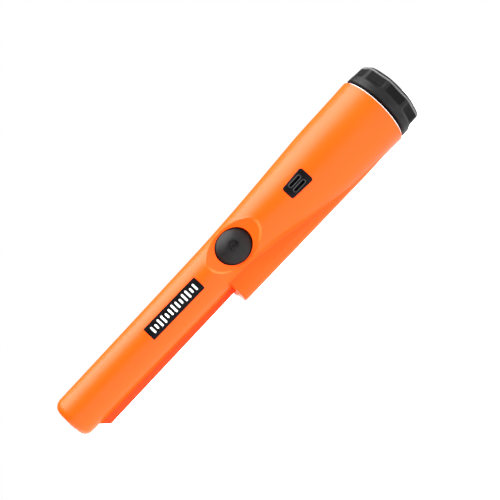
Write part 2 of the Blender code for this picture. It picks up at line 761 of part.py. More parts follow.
def cap_profile(depth, floor):
    """The cap's section, from the middle of its outer end round to the middle of its hollow."""
    return [
        (0.0, depth),
        (CAP_END_RADIUS - 0.0020, depth),
        (CAP_END_RADIUS - 0.0004, depth - 0.0008),
        (CAP_END_RADIUS, depth - 0.0022),
        (CAP_RADIUS, 0.0005),
        (CAP_RADIUS - 0.0004, 0.0),
        (SPIGOT_RADIUS, 0.0),
        (SPIGOT_RADIUS, -SPIGOT_LENGTH),
        (CAP_BORE, -SPIGOT_LENGTH),
        (CAP_BORE, floor),
        (0.0, floor),
    ]


def cut_grips(item, axis):
    """Flats round the cap's outer half, with ridges left between them."""
    size = (0.014, 0.016, 0.004)
    centre = (GRIP_X - CAP_X + size[0] / 2, 0, GRIP_FLAT + size[2] / 2)
    for number in range(CAP_GRIPS):
        angle = GRIP_START_ANGLE + (number + 0.5) * 2 * math.pi / CAP_GRIPS
        flat = block(f"grip_flat_{number}", size, centre)
        boolean(item, place(f"grip_flat_{number}", flat, rotation=(angle, 0, 0), parent=axis))


def sealing_ring():
    """White ring that the cap presses on the housing's rim."""
    ring = [
        (SEAL_OUTER_RADIUS, SEAL_THICKNESS),
        (SEAL_OUTER_RADIUS, 0.0),
        (SEAL_INNER_RADIUS, 0.0),
        (SEAL_INNER_RADIUS, SEAL_THICKNESS),
    ]
    turned("cap_gasket", WHITE_SEAL, ring, (RIM_X + GAP, 0, CAP_CENTRE), closed=True, sides=40)


def battery_cap():
    """Screw cap with finger grips, a coin slot, a hollow spigot and a foam pad for the battery."""
    depth = PROBE_LENGTH - CAP_X
    floor = depth - 0.0036
    axis = datum("cap_axis", (CAP_X, 0, CAP_CENTRE), parent=TIP)
    profile = cap_profile(depth, floor)
    item = turned("battery_cap", BLACK, profile, (0, 0, 0), sides=54, parent=axis)
    cut_grips(item, axis)
    slot = block("coin_slot", (0.0036, 0.0022, 0.0180), (depth, 0, 0))
    boolean(item, place("coin_slot", slot, parent=axis))
    pad_start = BATTERY_X + BATTERY_LENGTH + GAP
    pad_length = CAP_X + floor - GAP - pad_start
    pad = rod("cap_pad", 0.0130, pad_length, sides=24)
    place("cap_pad", pad, FOAM, (pad_start - CAP_X, 0, 0), parent=axis)


housing()
speaker()
name_plate()
power_button()
lamp()
board()
switch()
vibration_motor()
motor_rotor()
search_coil()
contacts()
battery()
sealing_ring()
battery_cap()
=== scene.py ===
import math

import bmesh
import bpy
from mathutils import Matrix, Vector


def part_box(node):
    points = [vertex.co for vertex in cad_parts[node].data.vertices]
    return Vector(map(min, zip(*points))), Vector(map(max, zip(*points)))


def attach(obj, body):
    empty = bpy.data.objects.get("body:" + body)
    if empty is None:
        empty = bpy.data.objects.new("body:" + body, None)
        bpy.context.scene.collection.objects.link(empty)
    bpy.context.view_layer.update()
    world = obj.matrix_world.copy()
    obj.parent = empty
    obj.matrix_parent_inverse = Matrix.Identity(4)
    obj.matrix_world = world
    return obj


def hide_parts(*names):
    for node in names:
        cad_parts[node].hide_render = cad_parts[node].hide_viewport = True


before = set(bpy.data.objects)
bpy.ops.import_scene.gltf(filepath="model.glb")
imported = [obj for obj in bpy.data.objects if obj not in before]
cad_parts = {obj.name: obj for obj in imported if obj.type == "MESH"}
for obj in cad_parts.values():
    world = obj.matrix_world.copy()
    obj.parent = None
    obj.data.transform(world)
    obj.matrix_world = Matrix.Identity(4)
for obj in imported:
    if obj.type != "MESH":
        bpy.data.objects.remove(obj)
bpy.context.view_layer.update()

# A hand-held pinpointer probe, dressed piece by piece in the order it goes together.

tip = Vector((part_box("front_shell")[0].x, 0.0, 0.0))  # every distance along the probe is counted from here


# ---------------------------------------------------------------------------------------------------------
# Search coil. A sintered ferrite rod runs through a white nylon bobbin with a transmit and a receive
# winding of enamelled copper wire, layered by machine. A foam pad holds it steady in the tip.


class Wire:
    """One value on its way through a material's nodes. Sums on it add Math nodes."""

    def __init__(self, tree, socket):
        self.tree = tree
        self.socket = socket

    def node(self, kind, settings, inputs, output=0):
        """Adds a node: its settings first, then the values or wires of its sockets."""
        made = self.tree.nodes.new("ShaderNode" + kind)
        for name, value in settings.items():
            if name == "stops":
                self.set_stops(made.color_ramp, value)
            else:
                setattr(made, name, value)
        for name, value in inputs.items():
            if isinstance(value, Wire):
                self.tree.links.new(value.socket, made.inputs[name])
            else:
                made.inputs[name].default_value = value
        return Wire(self.tree, made.outputs[output])

    @staticmethod
    def set_stops(ramp, stops):
        while len(ramp.elements) < len(stops):
            ramp.elements.new(0.5)
        for element, (place, colour) in zip(ramp.elements, stops):
            element.position = place
            element.color = (*colour, 1.0)

    def math(self, operation, *others):
        return self.node("Math", {"operation": operation}, dict(enumerate((self, *others))))

    def __add__(self, other):
        return self.math("ADD", other)

    def __sub__(self, other):
        return self.math("SUBTRACT", other)

    def __mul__(self, other):
        return self.math("MULTIPLY", other)

    def __neg__(self):
        return self.math("MULTIPLY", -1.0)

    def __rsub__(self, other):
        return -self + other

    __radd__ = __add__
    __rmul__ = __mul__

    def step(self, low, high):
        """0 below low, 1 above high, smooth between."""
        inputs = {"Value": self, "From Min": low, "From Max": high}
        return self.node("MapRange", {"interpolation_type": "SMOOTHSTEP"}, inputs)

    def part(self, axis):
        """The X, Y or Z of a vector."""
        return self.node("SeparateXYZ", {}, {"Vector": self}, "XYZ".index(axis))

    def moved(self, offset, scale=(1, 1, 1), turn=(0, 0, 0)):
        """Coordinates moved by an offset, turned and scaled, so that a pattern sits on its piece."""
        turned = self.node("VectorMath", {"operation": "SUBTRACT"}, {0: self, 1: tuple(offset)})
        return turned.node("Mapping", {}, {"Vector": turned, "Rotation": turn, "Scale": scale})

    def noise(self, size, detail=2.0, roughness=0.5):
        """Cloudy noise from 0 to 1, with blotches about as large as the size in metres."""
        inputs = {"Vector": self, "Scale": 1.0 / size, "Detail": detail, "Roughness": roughness}
        return self.node("TexNoise", {}, inputs)

    def blend(self, one, other):
        """Mixes two colours by this value."""
        return self.node("Mix", {"data_type": "RGBA"}, {0: self, 6: colour_of(one), 7: colour_of(other)}, 2)

    def bump(self, height, strength=1.0):
        """A normal from this height map, whose full range is the height in metres."""
        return self.node("Bump", {}, {"Height": self, "Distance": height, "Strength": strength})


def colour_of(value):
    """A colour as a socket takes it: a wire stays as it is, and red, green, blue gets its alpha."""
    return value if isinstance(value, Wire) else (*value, 1.0)


class Finish:
    """A surface: a Principled material with its fixed numbers, and the wire of its object coordinates."""

    def __init__(self, name, **fixed):
        self.material = bpy.data.materials.new(name)
        self.material.use_nodes = True
        tree = self.material.node_tree
        self.shader = tree.nodes["Principled BSDF"]
        for socket, value in fixed.items():
            self.shader.inputs[socket.replace("_", " ")].default_value = value
        self.place = Wire(tree, tree.nodes.new("ShaderNodeTexCoord").outputs["Object"])

    def feed(self, **wires):
        """Links wires to the sockets named, and returns the material."""
        for socket, wire in wires.items():
            self.material.node_tree.links.new(wire.socket, self.shader.inputs[socket.replace("_", " ")])
        return self.material


def dress(names, material):
    """Gives CAD nodes their finish."""
    for name in names:
        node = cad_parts[name]
        node.data.materials.clear()
        node.data.materials.append(material)


def ferrite():
    finish = Finish("ferrite", Metallic=0.0)
    grain = finish.place.noise(0.0004, 4)
    blotch = finish.place.noise(0.006, 2)
    finish.feed(Base_Color=(grain * 0.6 + blotch * 0.4).blend((0.018, 0.018, 0.020), (0.075, 0.073, 0.075)))
    return finish.feed(Roughness=0.55 + grain * 0.3, Normal=grain.bump(0.00004))


def winding(name, light, dark, pitch):
    """Enamelled wire laid side by side, one turn a pitch along X."""
    finish = Finish(name, Metallic=0.85)
    along = finish.place.part("X")
    turns = (along * (2 * math.pi / pitch)).math("SINE") * 0.5 + 0.5
    layer = finish.place.moved((0, 0, 0), (300, 60, 60)).noise(1.0, 2)
    finish.feed(Base_Color=(turns * 0.6 + layer * 0.4).blend(dark, light))
    return finish.feed(Roughness=0.55 - turns * 0.25, Normal=turns.bump(0.00012))


def foam(name, colour):
    finish = Finish(name)
    cells = finish.place.node("TexVoronoi", {}, {"Vector": finish.place, "Scale": 1800.0})
    shade = cells.step(0.1, 0.6)
    finish.feed(Base_Color=shade.blend([c * 0.45 for c in colour], colour))
    return finish.feed(Roughness=0.98 - shade * 0.1, Normal=cells.bump(0.0002, 0.6))


def nylon(name, colour):
    """Natural moulded nylon, faintly cloudy."""
    finish = Finish(name, Subsurface_Weight=0.15, Subsurface_Scale=0.002)
    cloud = finish.place.noise(0.003, 3)
    finish.feed(Base_Color=cloud.blend([c * 0.86 for c in colour], colour))
    return finish.feed(Roughness=0.42 + cloud * 0.2, Normal=finish.place.noise(0.0005, 2).bump(0.00002))


dress(["ferrite_core"], ferrite())
transmit_wire = winding("transmit_wire", (0.72, 0.26, 0.09), (0.22, 0.05, 0.015), 0.0004)
receive_wire = winding("receive_wire", (0.66, 0.17, 0.07), (0.16, 0.03, 0.012), 0.00025)
dress(["transmit_coil"], transmit_wire)
dress(["receive_coil"], receive_wire)
lead_wire = winding("lead_wire", (0.7, 0.27, 0.1), (0.4, 0.12, 0.04), 0.002)
dress(["coil_lead_inner", "coil_lead_outer"], lead_wire)
dress(["coil_bobbin"], nylon("bobbin_nylon", (0.76, 0.75, 0.70)))
dress(["tip_pad", "cap_pad"], foam("grey_foam", (0.24, 0.24, 0.25)))


# ---------------------------------------------------------------------------------------------------------
# Circuit board. Glass-fibre board under green solder mask, with moulded chips, a crystal, a capacitor and
# the tact switch that the power button works. Two plated screws fix it to the back shell.


def solder_mask():
    finish = Finish("solder_mask", Coat_Weight=0.4, Coat_Roughness=0.15)
    upright = finish.place.moved((0, 0, 0), turn=(math.pi / 2, 0, 0))
    bricks = {"Vector": upright, "Scale": 420.0, "Mortar Size": 0.06, "Mortar Smooth": 0.2}
    tracks = upright.node("TexBrick", {}, bricks, 1)
    weave = finish.place.noise(0.0009, 3)
    finish.feed(Base_Color=(tracks * 0.75 + weave * 0.25).blend((0.010, 0.115, 0.045), (0.03, 0.26, 0.10)))
    return finish.feed(Roughness=0.32 + weave * 0.15, Normal=(tracks * 0.8 + weave * 0.2).bump(0.00006))


def moulded(name, colour, grain=0.0004, depth=0.00002, rough=0.5, coat=0.0, gloss=0.4):
    """Injection-moulded plastic: fine spark-eroded grain, faint flow marks and a little unevenness."""
    finish = Finish(name, Coat_Weight=coat, Coat_Roughness=0.2, Specular_IOR_Level=gloss)
    fine = finish.place.noise(grain, 3, 0.6)
    flow = finish.place.moved((0, 0, 0), (1.0, 3.0, 3.0)).noise(0.02, 2)
    shade = flow * 0.7 + fine * 0.3
    finish.feed(Base_Color=shade.blend([c * 0.80 for c in colour], [c * 1.18 for c in colour]))
    return finish.feed(Roughness=rough - 0.08 + flow * 0.10 + fine * 0.06, Normal=fine.bump(depth))


def plated(name, colour, rough=0.25):
    """Plated steel with fine drawing lines."""
    finish = Finish(name)
    lines = finish.place.moved((0, 0, 0), (0.1, 1.0, 1.0)).noise(0.0002, 3)
    cloud = finish.place.noise(0.004, 2)
    finish.feed(Base_Color=cloud.blend([c * 0.8 for c in colour], colour), Metallic=0.92 + cloud * 0.08)
    return finish.feed(Roughness=rough + lines * 0.2, Normal=lines.bump(0.00001))


steel = plated("bright_steel", (0.68, 0.68, 0.70))
chip = moulded("chip_epoxy", (0.022, 0.022, 0.024), 0.0002, 0.00003, 0.65)
dress(["main_board"], solder_mask())
dress(["controller_chip", "amplifier_chip", "voltage_regulator", "tact_switch"], chip)
dress(["switch_plunger"], nylon("plunger_nylon", (0.8, 0.78, 0.72)))
dress(["crystal_can", "board_screw_1", "board_screw_2"], steel)
sleeve = moulded("capacitor_sleeve", (0.03, 0.032, 0.05), rough=0.35, coat=0.3)
dress(["filter_capacitor"], sleeve)


# ---------------------------------------------------------------------------------------------------------
# Vibration motor. A plain steel can lies in a black moulded cradle in the lamp housing and spins an
# off-centre weight, which makes the grip buzz. Two insulated leads run up to the board.

black_abs = moulded("black_abs", (0.034, 0.034, 0.036), 0.0004, 0.00004, 0.48)
red_lead = moulded("red_insulation", (0.55, 0.025, 0.02), 0.0006, 0.00001, 0.35, 0.3)
black_lead = moulded("black_insulation", (0.02, 0.02, 0.022), 0.0006, 0.00001, 0.35, 0.3)
dress(["vibration_motor", "motor_shaft"], steel)
dress(["motor_weight"], plated("sintered_weight", (0.42, 0.41, 0.40), 0.4))
dress(["motor_cradle", "buzzer"], black_abs)
dress(["motor_lead_red", "battery_lead_red"], red_lead)
dress(["motor_lead_black", "battery_lead_black"], black_lead)


# ---------------------------------------------------------------------------------------------------------
# Battery contacts. Two sprung strips of plated steel on a black moulded block press on the battery's
# snaps. The same section finishes the battery: a printed steel can with two pressed snaps.


def battery_print():
    """A dark printed can with a pale band round its terminal end."""
    finish = Finish("battery_print", Coat_Weight=0.3, Coat_Roughness=0.15)
    low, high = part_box("battery")
    share = (finish.place.part("X") - low.x) * (1.0 / (high.x - low.x))
    band = share.step(0.28, 0.29) * (1 - share.step(0.34, 0.35))
    scuff = finish.place.noise(0.0008, 4, 0.7).step(0.62, 0.75)
    finish.feed(Base_Color=band.blend((0.030, 0.034, 0.045), (0.62, 0.60, 0.55)))
    return finish.feed(Roughness=0.3 + scuff * 0.25, Metallic=0.5 + band * 0.3)


dress(["contact_plus", "contact_minus", "battery_snap_plus", "battery_snap_minus"], steel)
dress(["contact_block"], black_abs)
dress(["battery"], battery_print())


# ---------------------------------------------------------------------------------------------------------
# Housing. Two injection-moulded shells in bright orange plastic, bonded along a fine seam. They make a
# round tube that flares into the grip, with a lamp housing and a scraping blade moulded underneath.

WALL = 0.0020
TIP_ROUNDING = 0.0045
STATIONS = [
    (0.000, 0.0209, 0.0109),
    (0.102, 0.0218, 0.0122),
    (0.117, 0.0220, 0.0126),
    (0.127, 0.0216, 0.0135),
    (0.139, 0.0212, 0.0146),
    (0.154, 0.0203, 0.0165),
    (0.168, 0.0198, 0.0180),
    (0.180, 0.0196, 0.0190),
    (0.205, 0.0198, 0.0196),
    (0.215, 0.0199, 0.0199),
]
FACE_TILT = math.radians(6.0)  # the button's side looks this far up
LAMP_X = 0.102
LAMP_HALF_WIDTH = 0.0076
LAMP_ROUNDING = 0.0045
LAMP_EDGE = 0.0003
LENS_HEIGHT = 0.0058
LENS_RADIUS = 0.0015
BUTTON_X = 0.1163
DISH_HALF_LENGTH = 0.0163
DISH_HALF_WIDTH = 0.0096
DISH_DEPTH = 0.0040
BOSS_BACK = 0.0063
BOSS_HALF_LENGTH = 0.018
SOCKET_X = 0.2055
SOCKET_RADIUS = 0.0174
RIM_X = 0.2150
THREAD_PITCH = 0.003
SIDES = 168


def eased(stations, x):
    """Centre height and radius at x, on a smooth curve through the stations."""
    x = min(max(x, stations[0][0]), stations[-1][0])
    last = len(stations) - 2
    i = next(k for k in range(last + 1) if x <= stations[k + 1][0])
    before, here, there, after = (stations[min(max(k, 0), last + 1)] for k in range(i - 1, i + 3))
    span = there[0] - here[0]
    t = (x - here[0]) / span
    values = []
    for k in (1, 2):
        slope_in = (there[k] - before[k]) / (there[0] - before[0])
        slope_out = (after[k] - here[k]) / (after[0] - here[0])
        start = (2 * t**3 - 3 * t**2 + 1) * here[k] + (t**3 - 2 * t**2 + t) * span * slope_in
        values.append(start + (3 * t**2 - 2 * t**3) * there[k] + (t**3 - t**2) * span * slope_out)
    return values


def soft_min(a, b, width):
    """The smaller value, rounded over where the two are closer than the width."""
    near = max(width - abs(a - b), 0.0) / width
    return min(a, b) - near * near * width / 4


def soft_max(a, b, width):
    return -soft_min(-a, -b, width)


def lamp_reach(x, height, turn, inset):
    """How far the lamp housing reaches from the centre line, at an angle from straight down."""
    if x < LAMP_X + inset - 1e-6 or turn >= math.pi / 2:
        return 0.0
    along = max(LAMP_EDGE - (x - LAMP_X - inset), 0.0)
    edge = inset + LAMP_EDGE - math.sqrt(LAMP_EDGE**2 - along**2)
    fade = min(max((x - 0.185) / 0.020, 0.0), 1.0)
    half_width = LAMP_HALF_WIDTH - edge
    depth = height - edge - 0.0006 * fade * fade
    rounding = max(LAMP_ROUNDING - inset, 0.0005)
    across, down = math.sin(turn), math.cos(turn)
    if half_width * down >= (depth - rounding) * across and depth * across >= (half_width - rounding) * down:
        ahead = across * (half_width - rounding) + down * (depth - rounding)
        aside = down * (half_width - rounding) - across * (depth - rounding)
        return ahead + math.sqrt(max(rounding**2 - aside**2, 0.0))
    return min(depth / down, half_width / max(across, 1e-6))


def dish_depth(x, across):
    """How deep the oval dish round the button is pressed into the front shell, with a low bead as its lip."""
    share = ((x - BUTTON_X) / DISH_HALF_LENGTH) ** 2 + (across / DISH_HALF_WIDTH) ** 2
    bead = 0.00022 * math.exp(-(((math.sqrt(share) - 1.01) / 0.035) ** 2))
    return soft_max(DISH_DEPTH * (1 - share), 0.0, 0.00008) - bead


def boss_reach(x, turn):
    """How far the inside reaches before the thick boss that carries the button."""
    facing = math.sin(turn - FACE_TILT)
    if facing < 0.2 or abs(x - BUTTON_X) > BOSS_HALF_LENGTH:
        return 1.0
    return BOSS_BACK / facing


def thread_ridge(phase):
    """Height of a thread's ridge, centred at half a pitch."""
    return 0.00032 * min(max(1.5 - abs(2 * phase - 1) * 3.6, 0.0), 1.0)


def thread(x, turn, side):
    """The female thread's depth in the socket, for an angle from straight down on either side."""
    if x < SOCKET_X:
        return 0.0
    phase = (x / THREAD_PITCH + 0.25 - side * turn / (2 * math.pi)) % 1.0
    fade = min((x - SOCKET_X) / 0.001, (RIM_X - 0.0005 - x) / 0.0008, 1.0)
    return thread_ridge(phase) * max(fade, 0.0)


def reach(x, radius, lamp, turn, side, inset):
    """Distance from the centre line to the housing's surface, or to its inner wall for an inset."""
    distance = soft_max(radius - inset, lamp, 0.0003)
    facing = turn - math.pi / 2 - FACE_TILT
    if side < 0 and inset == 0.0 and abs(facing) < 1.2:
        distance -= dish_depth(x, distance * math.sin(facing)) / math.cos(facing)
    if side < 0 and inset > 0.0:
        distance = min(distance, boss_reach(x, turn))
    if inset > 0.0 and x >= SOCKET_X:
        distance = SOCKET_RADIUS - thread(x, turn, side)
    return distance


def spaced(start, end, pitch):
    count = max(1, round((end - start) / pitch))
    return [start + (end - start) * k / count for k in range(count)]


def ring_places():
    """Distances from the tip of the rings past the rounded end, closer where the shape changes."""
    places = spaced(TIP_ROUNDING, 0.096, 0.0030) + spaced(0.096, LAMP_X - 0.0001, 0.0004)
    places += [LAMP_X - 0.0001, LAMP_X, LAMP_X, LAMP_X + 0.0001, LAMP_X + 0.0002]
    places += spaced(LAMP_X + 0.0003, 0.134, 0.0004) + spaced(0.134, SOCKET_X, 0.0018)
    return places + spaced(SOCKET_X, RIM_X, 0.0003) + [RIM_X]


def inner_place(x, inset):
    """Where a ring's inner wall lies, so that the step has its own wall thickness."""
    knots = [(0.0, 0.0), (0.098, 0.098), (LAMP_X, LAMP_X + 0.9 * inset), (0.107, 0.107), (RIM_X, RIM_X)]
    for (a, b), (c, d) in zip(knots, knots[1:]):
        if x <= c:
            return b + (x - a) * (d - b) / (c - a)
    return x


def housing_wall(bm, side, inset, seam_gap=0.00004):
    """One half of the housing's surface, as a grid of rings from the tip to the rim."""
    tip_steps, round_steps = 4, 10
    rings = []
    rounding = TIP_ROUNDING - inset
    flat = STATIONS[0][2] - TIP_ROUNDING
    for k in range(tip_steps):
        rings.append((inset, flat * k / tip_steps))
    for k in range(round_steps):
        angle = math.pi / 2 * k / round_steps
        rings.append((inset + rounding * (1 - math.cos(angle)), flat + rounding * math.sin(angle)))
    places = ring_places()
    lamp_start = places.index(LAMP_X) + tip_steps + round_steps
    rings += [(inner_place(x, inset), None) for x in places]
    grid = bmesh.ops.create_grid(bm, x_segments=len(rings) - 1, y_segments=SIDES, size=0.5)
    for vert in grid["verts"]:
        row = round((vert.co.x + 0.5) * (len(rings) - 1))
        column = round((vert.co.y + 0.5) * SIDES)
        turn = math.pi * (column / SIDES) ** 1.5
        x, distance = rings[row]
        height, radius = eased(STATIONS, x)
        if distance is None:
            lamp = 0.0 if row == lamp_start else lamp_reach(x, height, turn, inset)
            distance = reach(x, radius, lamp, turn, side, inset)
        if column in (0, SIDES) and inset == 0.0 and row > tip_steps:
            distance -= 0.00012
        y = side * (math.sin(turn) * distance + seam_gap)
        vert.co = tip + Vector((x, y, height - math.cos(turn) * distance))


SHARP_EDGE = math.radians(35)


def closed_piece(bm, name, material):
    """Turns a bmesh into a finished piece, smooth but for its sharp edges."""
    mesh = bpy.data.meshes.new(name)
    bm.to_mesh(mesh)
    bm.free()
    mesh.materials.append(material)
    mesh.shade_smooth()
    mesh.set_sharp_from_angle(angle=SHARP_EDGE)
    piece = bpy.data.objects.new(name, mesh)
    bpy.context.scene.collection.objects.link(piece)
    return piece


def combine(piece, tool, operation="DIFFERENCE"):
    """Cuts a piece with a tool, or joins the tool to it, and removes the tool."""
    modifier = piece.modifiers.new("combine", "BOOLEAN")
    modifier.object = tool
    modifier.operation = operation
    modifier.solver = "EXACT"
    graph = bpy.context.evaluated_depsgraph_get()
    mesh = bpy.data.meshes.new_from_object(piece.evaluated_get(graph))
    piece.modifiers.clear()
    old = piece.data
    piece.data = mesh
    bpy.data.meshes.remove(old)
    mesh.set_sharp_from_angle(angle=SHARP_EDGE)
    bpy.data.objects.remove(tool, do_unlink=True)


def extruded(name, outline, start, end, frame_of):
    """A cutter: an outline in the plane of a face, extruded from start to end and placed by a matrix."""
    bm = bmesh.new()
    face = bm.faces.new([bm.verts.new((x, start, z)) for x, z in outline])
    grown = bmesh.ops.extrude_face_region(bm, geom=[face])["geom"]
    moved = [part for part in grown if isinstance(part, bmesh.types.BMVert)]
    bmesh.ops.translate(bm, verts=moved, vec=(0, end - start, 0))
    bmesh.ops.recalc_face_normals(bm, faces=bm.faces)
    bmesh.ops.transform(bm, matrix=frame_of, verts=bm.verts)
    return closed_piece(bm, name, black_abs)


def face_frame(x):
    """The frame of the button's side at a distance from the tip: -Y points out of the face."""
    height = eased(STATIONS, x)[0]
    return Matrix.Translation(tip + Vector((x, 0, height))) @ Matrix.Rotation(-FACE_TILT, 4, "X")


def oval(half_length, half_width, points=96):
    angles = [2 * math.pi * k / points for k in range(points)]
    return [(half_length * math.cos(a), half_width * math.sin(a)) for a in angles]


def rounded_outline(corners, radius, steps=8):
    """A polygon's outline with its corners rounded. The corners run anticlockwise."""
    points = []
    count = len(corners)
    for k, corner in enumerate(corners):
        corner = Vector(corner)
        to_last = (Vector(corners[k - 1]) - corner).normalized()
        to_next = (Vector(corners[(k + 1) % count]) - corner).normalized()
        half_angle = to_last.angle(to_next) / 2
        centre = corner + (to_last + to_next).normalized() * (radius / math.sin(half_angle))
        start = corner + to_last * (radius / math.tan(half_angle)) - centre
        end = corner + to_next * (radius / math.tan(half_angle)) - centre
        sweep = start.angle_signed(end)
        for step in range(steps + 1):
            points.append(tuple(centre + Matrix.Rotation(-sweep * step / steps, 2) @ start))
    return points


def painted_lip_highlight(place):
    """Where the lower half of the dish's lip gets a painted highlight."""
    across_face = place.moved(face_frame(BUTTON_X).translation, turn=(FACE_TILT, 0, 0))
    along = across_face.part("X") * (1 / DISH_HALF_LENGTH)
    up = across_face.part("Z") * (1 / DISH_HALF_WIDTH)
    from_lip = ((along * along + up * up).math("SQRT") - 0.99).math("ABSOLUTE")
    lower = (1 - up.step(-0.2, 0.3)) * along.math("ABSOLUTE").step(0.45, 0.85)
    return (1 - from_lip.step(0.015, 0.06)) * lower * (1 - across_face.part("Y").step(-0.004, -0.002))


def orange_abs():
    """Bright orange plastic with the fine satin grain of its mould, flow marks and faint rubbed lines. The
    blade is painted darker as painted shade, and part of the dish's lip lighter as a painted highlight."""
    finish = Finish("orange_abs", Specular_IOR_Level=0.17)
    fine = finish.place.noise(0.00035, 3, 0.65)
    flow = finish.place.moved((0, 0, 0), (0.6, 2.0, 2.0)).noise(0.03, 2)
    rub = finish.place.moved((0, 0, 0), (0.2, 1.0, 1.0)).noise(0.0011, 4, 0.7).step(0.64, 0.8)
    tint = (flow * 0.7 + fine * 0.3).blend((0.92, 0.069, 0.0005), (1.0, 0.088, 0.0015))
    # Painted shade: the blade, which sits under the tube, is darkened.
    before_step = 1 - finish.place.part("X").step(tip.x + LAMP_X - 0.0004, tip.x + LAMP_X - 0.0001)
    blade = before_step * (1 - finish.place.part("Z").step(0.0090, 0.0097))
    tint = (blade * 0.75).blend(tint, (0.85, 0.036, 0.0005))
    # Painted highlight: the lower half of the dish's lip is painted lighter.
    tint = (painted_lip_highlight(finish.place) * 0.45).blend(tint, (1.0, 0.24, 0.06))
    finish.feed(Base_Color=(rub * 0.25).blend(tint, (1.0, 0.19, 0.03)))
    return finish.feed(Roughness=0.33 + flow * 0.08 + fine * 0.06 + rub * 0.08, Normal=fine.bump(0.00002))


def blade_half(side, material):
    """Half of the scraping blade, with softened edges."""
    outline = [(0.0070, 0.0125), (0.0136, 0.0060), (0.1030, 0.0070), (0.1030, 0.0135)]
    bm = bmesh.new()
    face = bm.faces.new([bm.verts.new(tip + Vector((x, side * 0.00004, z))) for x, z in outline])
    grown = bmesh.ops.extrude_face_region(bm, geom=[face])["geom"]
    moved = [part for part in grown if isinstance(part, bmesh.types.BMVert)]
    bmesh.ops.translate(bm, verts=moved, vec=(0, side * 0.00146, 0))
    bmesh.ops.recalc_face_normals(bm, faces=bm.faces)
    outer = [e for e in bm.edges if all(abs(v.co.y) > 0.001 for v in e.verts)]
    bmesh.ops.bevel(bm, geom=outer, offset=0.00014, segments=2, profile=0.5, affect="EDGES")
    return closed_piece(bm, "blade_half", material)


def housing_half(name, side, material):
    bm = bmesh.new()
    housing_wall(bm, side, 0.0)
    housing_wall(bm, side, WALL)
    bmesh.ops.remove_doubles(bm, verts=bm.verts, dist=0.000001)
    bmesh.ops.bridge_loops(bm, edges=[edge for edge in bm.edges if edge.is_boundary])
    bmesh.ops.recalc_face_normals(bm, faces=bm.faces)
    piece = closed_piece(bm, name, material)
    combine(piece, blade_half(side, material), "UNION")
    return piece


def lens_hole():
    """A cutter a hair wider than the lens, through the step."""
    bm = bmesh.new()
    turn = Matrix.Translation(tip + Vector((LAMP_X, 0, LENS_HEIGHT))) @ Matrix.Rotation(math.pi / 2, 4, "Y")
    radius = LENS_RADIUS + 0.00005
    bmesh.ops.create_cone(bm, cap_ends=True, segments=48, radius1=radius, radius2=radius, depth=0.012,
        matrix=turn)
    return closed_piece(bm, "lens_hole", black_abs)


orange = orange_abs()
front_case = housing_half("front_case", -1, orange)
back_case = housing_half("back_case", 1, orange)

BUTTON_HALF_LENGTH = 0.0098
BUTTON_HALF_WIDTH = 0.0086
button_gap = 0.00022
hole = oval(BUTTON_HALF_LENGTH + button_gap, BUTTON_HALF_WIDTH + button_gap)
combine(front_case, extruded("button_hole", hole, -0.016, -0.0055, face_frame(BUTTON_X)))

WINDOW_X = 0.159
WINDOW_CORNERS = [(0.0070, 0.0044), (-0.0070, 0.0036), (-0.0070, -0.0036), (0.0070, -0.0044)]
window = rounded_outline(WINDOW_CORNERS, 0.0014)
combine(front_case, extruded("window_hole", window, -0.022, -0.013, face_frame(WINDOW_X)))
for case in (front_case, back_case):
    combine(case, lens_hole())

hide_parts("front_shell")
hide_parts("back_shell")
for case in (front_case, back_case):
    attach(case, "housing")


# ---------------------------------------------------------------------------------------------------------
# Lamp. An acrylic lens, warmly tinted, is pushed through the step under the grip. Behind it sits a clear
# diode on two bright steel legs.


def turned(profile, axis, steps=96, closed=False):
    """A profile of (distance along the axis, radius) spun round an axis given as a matrix (X is the axis)."""
    bm = bmesh.new()
    verts = [bm.verts.new((along, 0, radius)) for along, radius in profile]
    edges = [bm.edges.new(pair) for pair in zip(verts, verts[1:])]
    if closed:
        edges.append(bm.edges.new((verts[-1], verts[0])))
    bmesh.ops.spin(bm, geom=verts + edges, cent=(0, 0, 0), axis=(1, 0, 0), angle=2 * math.pi, steps=steps,
        use_merge=True)
    bmesh.ops.remove_doubles(bm, verts=bm.verts, dist=0.000002)
    bmesh.ops.recalc_face_normals(bm, faces=bm.faces)
    bmesh.ops.transform(bm, matrix=axis, verts=bm.verts)
    return bm


def along_x(x, height):
    return Matrix.Translation(tip + Vector((x, 0, height)))


def clear_plastic(name, tint, rough):
    finish = Finish(name, Transmission_Weight=0.6, IOR=1.49)
    swirl = finish.place.noise(0.0012, 3)
    finish.feed(Base_Color=swirl.blend([c * 0.93 for c in tint], tint))
    return finish.feed(Roughness=rough + swirl * 0.08, Normal=swirl.bump(0.00001))


dome_angles = spaced(0, math.pi / 2, math.pi / 20)
lens_profile = [(0.45 * LENS_RADIUS * (1 - math.cos(a)), LENS_RADIUS * math.sin(a)) for a in dome_angles]
lens_profile += [(0.0012, LENS_RADIUS), (0.0040, LENS_RADIUS), (0.0040, 0.0021), (0.0042, 0.0023)]
lens_profile += [(0.0046, 0.0023), (0.0048, 0.0021), (0.0048, 0.0)]
lens = closed_piece(turned(lens_profile, along_x(LAMP_X - 0.0015, LENS_HEIGHT), 48), "lens",
    clear_plastic("clear_acrylic", (0.80, 0.52, 0.40), 0.08))
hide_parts("lamp_lens")
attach(lens, "housing")
dress(["lamp_diode"], clear_plastic("diode_epoxy", (0.92, 0.93, 0.90), 0.12))
dress(["lamp_lead_plus", "lamp_lead_minus"], steel)


# ---------------------------------------------------------------------------------------------------------
# Speaker. The buzzer sounds through a thin splash membrane and a black moulded grille with two slots, which
# snaps into the window in the front shell and stands a hair proud of it.


def on_face(x0, along, across, lift):
    """A point over the button's side of the housing, along and across from the middle x0."""
    height, radius = eased(STATIONS, x0 + along)
    drop = height - eased(STATIONS, x0)[0]
    out = math.sqrt((radius + lift) ** 2 - (across - drop) ** 2)
    return face_frame(x0) @ Vector((along, -out, across))


